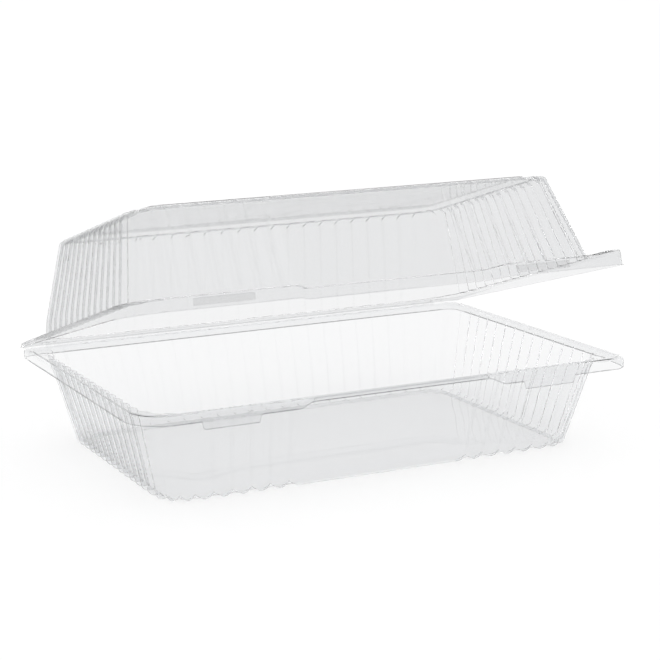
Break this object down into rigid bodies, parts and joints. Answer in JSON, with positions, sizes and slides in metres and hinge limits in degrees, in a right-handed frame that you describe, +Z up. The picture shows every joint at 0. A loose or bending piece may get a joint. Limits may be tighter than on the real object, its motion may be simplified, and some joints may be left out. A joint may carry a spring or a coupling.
{
  "type": "hinged lid food container",
  "caption": "Clear thermoformed food pack with a fluted tray and a taller fluted lid, joined by a living hinge and standing ajar.",
  "frame": {"origin": "middle of the tray's foot, on the surface that the pack stands on", "axes": "+Z up, X along the hinge and the long sides, -Y towards the front that opens"},
  "size_m": [0.345, 0.232, 0.1771],
  "materials": {
    "clear_plastic": "clear glossy thermoformed plastic film"
  },
  "bodies": {
    "base": {"base_tray": "clear_plastic"},
    "lid": {"hinged_lid": "clear_plastic"}
  },
  "joints": [
    {"name": "lid_hinge", "type": "hinge", "parent": "base", "child": "lid", "pos_m": [0, 0.116, 0.06065], "axis": [-1, 0, 0], "range_deg": [-15.1, 150]}
  ]
}
